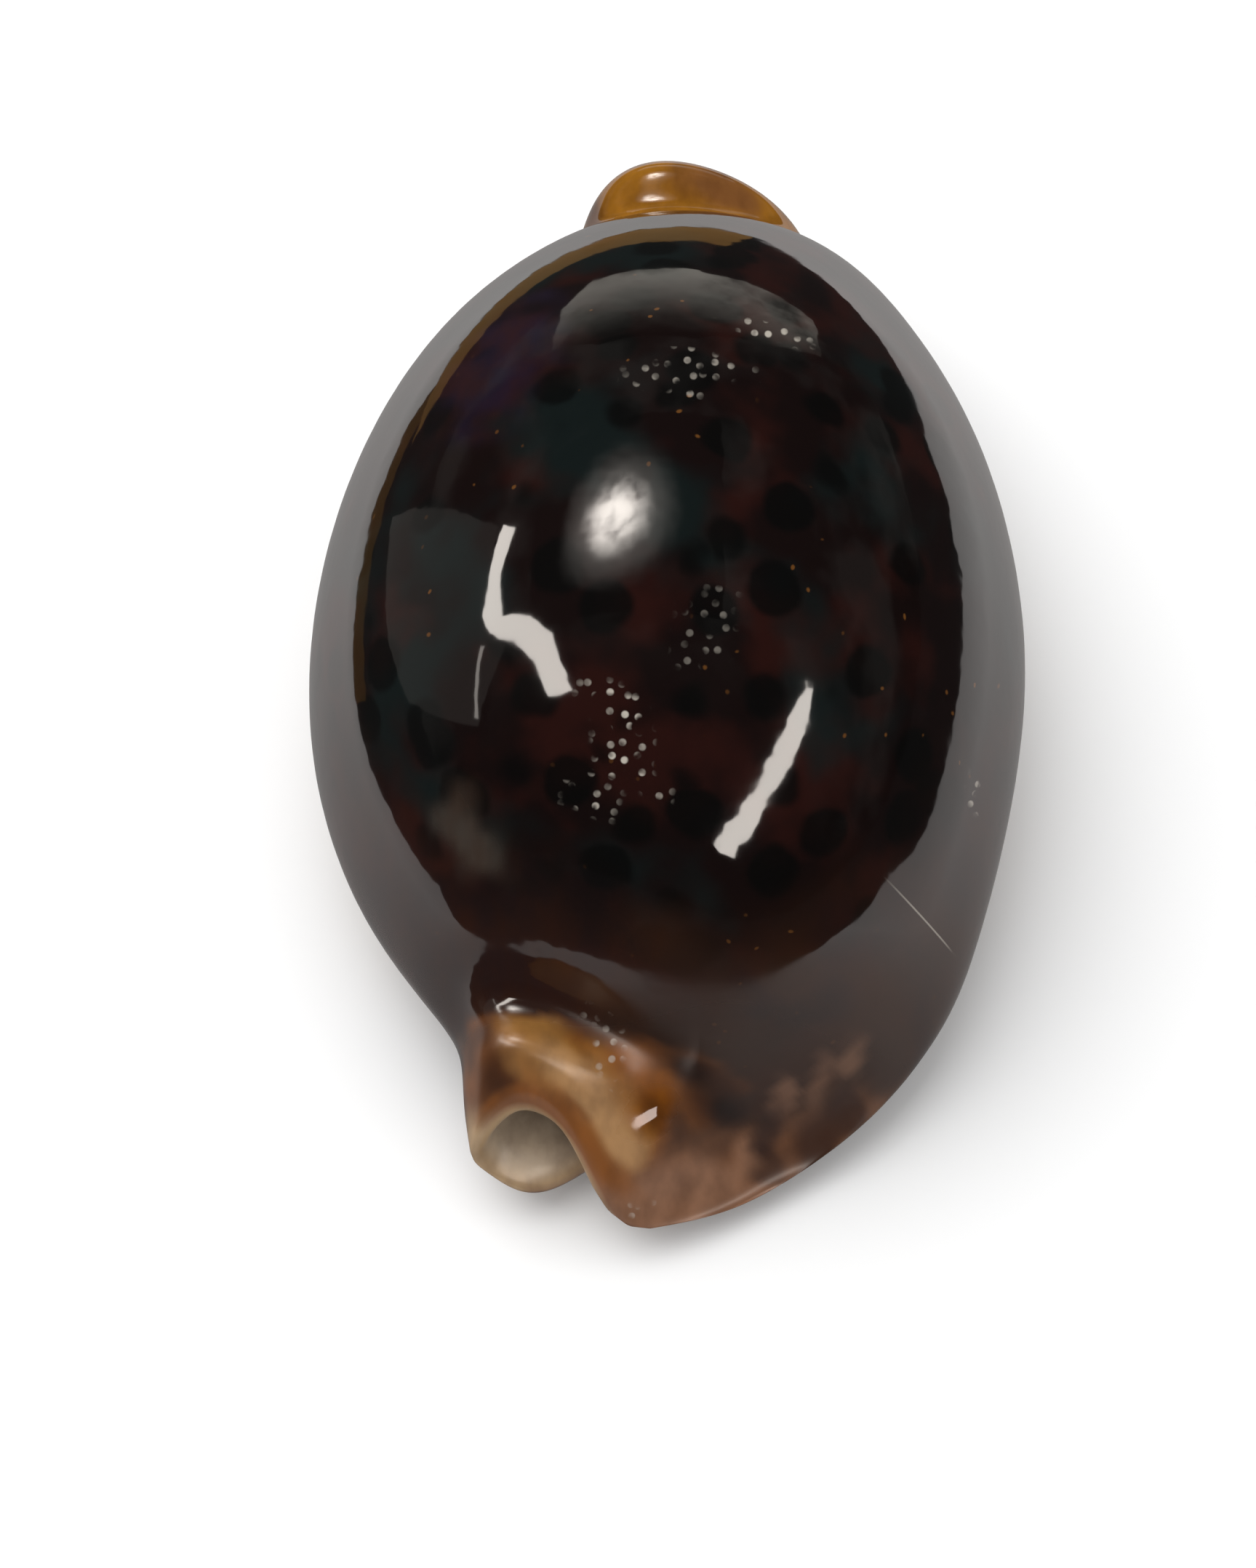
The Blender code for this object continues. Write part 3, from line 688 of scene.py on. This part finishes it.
ring = rectangle(SHEET_LEFT, SHEET_RIGHT, SHEET_NEAR, SHEET_FAR, 2 * LAYER)
ring += rectangle(-SURROUND_REACH, SURROUND_REACH, -SURROUND_REACH, SURROUND_REACH, 2 * LAYER)
ring_faces = [(k, (k + 1) % 4, 4 + (k + 1) % 4, 4 + k) for k in range(4)]
card("dark_surround", ring, 0.02, polygons=ring_faces)
wooden_strip = rectangle(SHEET_LEFT - 20, 12, SHEET_FAR, SHEET_FAR + 24, 4 * LAYER)
card("wooden_strip", wooden_strip, 0.8, WOOD_BROWN)
wooden_edge = rectangle(SHEET_LEFT - 12, SHEET_LEFT, 0, SHEET_FAR, 4 * LAYER)
card("wooden_edge", wooden_edge, 0.35, WOOD_BROWN)

# In the polish the sheet is a warm grey, and darker close to the shell: a painted shadow of the shell.
sheet_card = card("mirrored_sheet", rectangle(-300, 300, -300, 300, LAYER), 1, (1, 0.96, 0.94))
shade = sheet_card.data.materials[0].node_tree
round_shell = add(shade, "Mapping", {}, Vector=add(shade, "TexCoord", {}).outputs["Object"],
                  Scale=(1 / (22 * MM), 1 / (36 * MM), 0))
distance = add(shade, "VectorMath", {"operation": "LENGTH"})
feed(shade, distance.inputs[0], round_shell.outputs[0])
# Painted shadow: the sheet's light falls to about a quarter towards the shell's outline.
painted_shadow_falloff = add(shade, "MapRange", {}, Value=distance.outputs["Value"])
for name, number in (("From Min", 1.0), ("From Max", 2.1), ("To Min", 0.26), ("To Max", 0.98)):
    painted_shadow_falloff.inputs[name].default_value = number
feed(shade, shade.nodes["Emission"].inputs["Strength"], painted_shadow_falloff.outputs[0])


# The studio lights: a round one overhead, small cards close to the shell and a grey panel behind it. What
# they mirror in the polish is hard-edged, and a large soft light that isn't mirrored fills the shadows.

# A card between two rails is a band of quads; the others are one polygon each. All in millimetres.
WINDOW_LEFT = [
    (-53, 21, 61), (-58, 8, 60), (-61, -8, 59), (-60, -16, 61), (-52, -25, 68), (-43, -37, 70),
    (-35, -52, 65),
]
WINDOW_RIGHT = [
    (-50, 18, 66), (-56, 5, 65), (-56, -12, 67), (-52, -13, 69), (-46, -17, 74), (-36, -29, 76),
    (-27, -52, 68),
]
PANE_CARD = [
    (-64, 34, 8), (-56, 22, 60), (-63, -8, 60), (-57, -26, 68), (-60, -46, 46), (-77, -14, 20),
    (-74, 12, 11),
]
SLIVER_CARD = [(-60, -18, 56), (-59, -19, 57), (-57, -42, 46), (-58, -40, 45)]
STREAK_LEFT = [
    (50, -30, 67), (42, -39, 69), (29, -53, 69), (11, -66, 62), (0, -72, 54), (-6, -75, 48),
    (-5, -76, 47),
]
STREAK_RIGHT = [
    (52, -29, 65), (49, -37, 64), (36, -51, 65), (20, -65, 61), (12, -71, 55), (4, -74, 51),
    (1, -76, 47),
]
SADDLE_CARD = [
    (1.8, -35.0, 8.6), (1.8, -33.0, 9.3), (1.8, -30.9, 9.2), (1.8, -30.4, 9.0), (1.8, -30.9, 8.4),
    (1.8, -32.2, 8.4), (1.8, -34.4, 8.3),
]
BACK_PANEL = [
    (-134, 270, 95), (-109, 291, 36), (-50, 306, -14), (16, 308, -29), (83, 298, -22), (134, 280, 2),
    (167, 259, 60), (131, 269, 102), (30, 277, 150), (-84, 275, 138),
]
WARM_WHITE = (1.0, 0.93, 0.86)
band = [(k, k + 1, len(WINDOW_LEFT) + k + 1, len(WINDOW_LEFT) + k) for k in range(len(WINDOW_LEFT) - 1)]
card("window_card", WINDOW_LEFT + WINDOW_RIGHT, 13, WARM_WHITE, band)
card("streak_card", STREAK_LEFT + STREAK_RIGHT, 13, WARM_WHITE, band)
card("pane_card", PANE_CARD, 0.22, WARM_WHITE)
card("sliver_card", SLIVER_CARD, 4, WARM_WHITE)
# The card by the saddle shines to the left only, so that it isn't mirrored in the right flank.
saddle_card = card("saddle_card", SADDLE_CARD, 1, (1.0, 0.85, 0.78))
shade = saddle_card.data.materials[0].node_tree
behind = add(shade, "NewGeometry", {}).outputs["Backfacing"]
feed(shade, shade.nodes["Emission"].inputs["Strength"], stepped(shade, behind, 1, 0, 9))

# The grey panel is brightest along its lower edge and fades upwards, unevenly.
panel = card("back_panel", BACK_PANEL, 1, (1.0, 0.95, 0.85))
shade = panel.data.materials[0].node_tree
panel_place = add(shade, "TexCoord", {}).outputs["Object"]
panel_height = add(shade, "SeparateXYZ", {}, Vector=panel_place).outputs["Z"]
panel_mottle = stepped(shade, clouds(shade, panel_place, 45.0, 5.0, 4.0).outputs[0], 0.25, 0.6)
panel_light = times(shade, stepped(shade, panel_height, 0.14, 0.0, 1.1), panel_mottle)
feed(shade, shade.nodes["Emission"].inputs["Strength"], panel_light)

ROUND_LIGHT_PLACE = (-120, 150, 490)
HALO_ACROSS, HALO_ALONG = 190 * MM, 230 * MM
# The round light's glow is in the card's strength: a bright, uneven middle and a faint halo.
disc = card("round_light", rectangle(-300, 300, -300, 300, 0), 0, WARM_WHITE)
disc.location = Vector(ROUND_LIGHT_PLACE) * MM
shade = disc.data.materials[0].node_tree
spot = add(shade, "TexCoord", {}).outputs["Object"]
stretch = add(shade, "Mapping", {}, Vector=spot, Scale=(1 / HALO_ACROSS, 1 / HALO_ALONG, 1))
distance = add(shade, "VectorMath", {"operation": "LENGTH"})
feed(shade, distance.inputs[0], stretch.outputs[0])
distance = distance.outputs["Value"]
mottle = stepped(shade, clouds(shade, spot, 50.0, 2.0, 4.0).outputs[0], 0.3, 0.62)
glow = add(shade, "Math", {"operation": "ADD"})
feed(shade, glow.inputs[0], times(shade, stepped(shade, distance, 0.62, 0.1, 20.0), mottle))
feed(shade, glow.inputs[1], stepped(shade, distance, 1.05, 0.2, 2.2))
feed(shade, shade.nodes["Emission"].inputs["Strength"], glow.outputs[0])

soft = bpy.data.lights.new("soft_light", "AREA")
soft.energy = 2.2
soft.size = 0.5
soft_light = bpy.data.objects.new("soft_light", soft)
soft_light.location = (-0.15, 0.10, 0.5)
soft_light.rotation_euler = soft_light.location.to_track_quat("Z", "Y").to_euler()
soft_light.visible_glossy = False
bpy.context.scene.collection.objects.link(soft_light)

# The room is white to the eye and to soft light, and dark in the mirror of the polish.
world = bpy.data.worlds.new("studio")
bpy.context.scene.world = world
world.use_nodes = True
room = world.node_tree
plain = room.nodes["Background"]
plain.inputs["Color"].default_value = (1, 1, 1, 1)
plain.inputs["Strength"].default_value = 0.75
dim = add(room, "Background", {}, Strength=0.25)
way = add(room, "TexCoord", {}).outputs["Generated"]
patches = add(room, "TexNoise", {}, Vector=way, Scale=2.4, Detail=3.0).outputs[0]
far_side = stepped(room, add(room, "SeparateXYZ", {}, Vector=way).outputs["Y"], -0.75, 0.0)
patch_share = times(room, stepped(room, patches, 0.45, 0.62), far_side)
room_colour = mixed(room, patch_share, (0.01, 0.008, 0.008), (0.45, 0.43, 0.40))
feed(room, dim.inputs["Color"], room_colour)
path = add(room, "LightPath", {})
either = add(room, "MixShader", {})
feed(room, either.inputs[0], path.outputs["Is Glossy Ray"])
feed(room, either.inputs[1], plain.outputs[0])
feed(room, either.inputs[2], dim.outputs[0])
feed(room, room.nodes["World Output"].inputs["Surface"], either.outputs[0])


# The camera looks down at 60 degrees from the posterior end, as the photograph does.

EYE = Vector((0.06, -118.85, 220.8)) * MM
FRAME_HEIGHT = 2156
FOCAL_PIXELS = 5760
ELEVATION = radians(60)
AIM_RIGHT_PIXELS = 55.5
AIM_DOWN_PIXELS = 266
camera_data = bpy.data.cameras.new("camera")
camera = bpy.data.objects.new("camera", camera_data)
bpy.context.scene.collection.objects.link(camera)
right = Vector((1, 0, 0))
back = Vector((0, -np.cos(ELEVATION), np.sin(ELEVATION)))
aim = (FOCAL_PIXELS * back + AIM_RIGHT_PIXELS * right + AIM_DOWN_PIXELS * back.cross(right)).normalized()
side = (right - right.dot(aim) * aim).normalized()
camera.matrix_world = Matrix.Translation(EYE) @ Matrix((side, aim.cross(side), aim)).transposed().to_4x4()
camera_data.sensor_width = 36
camera_data.lens = FOCAL_PIXELS / FRAME_HEIGHT * camera_data.sensor_width
bpy.context.scene.camera = camera
bpy.context.scene.view_settings.view_transform = "Standard"
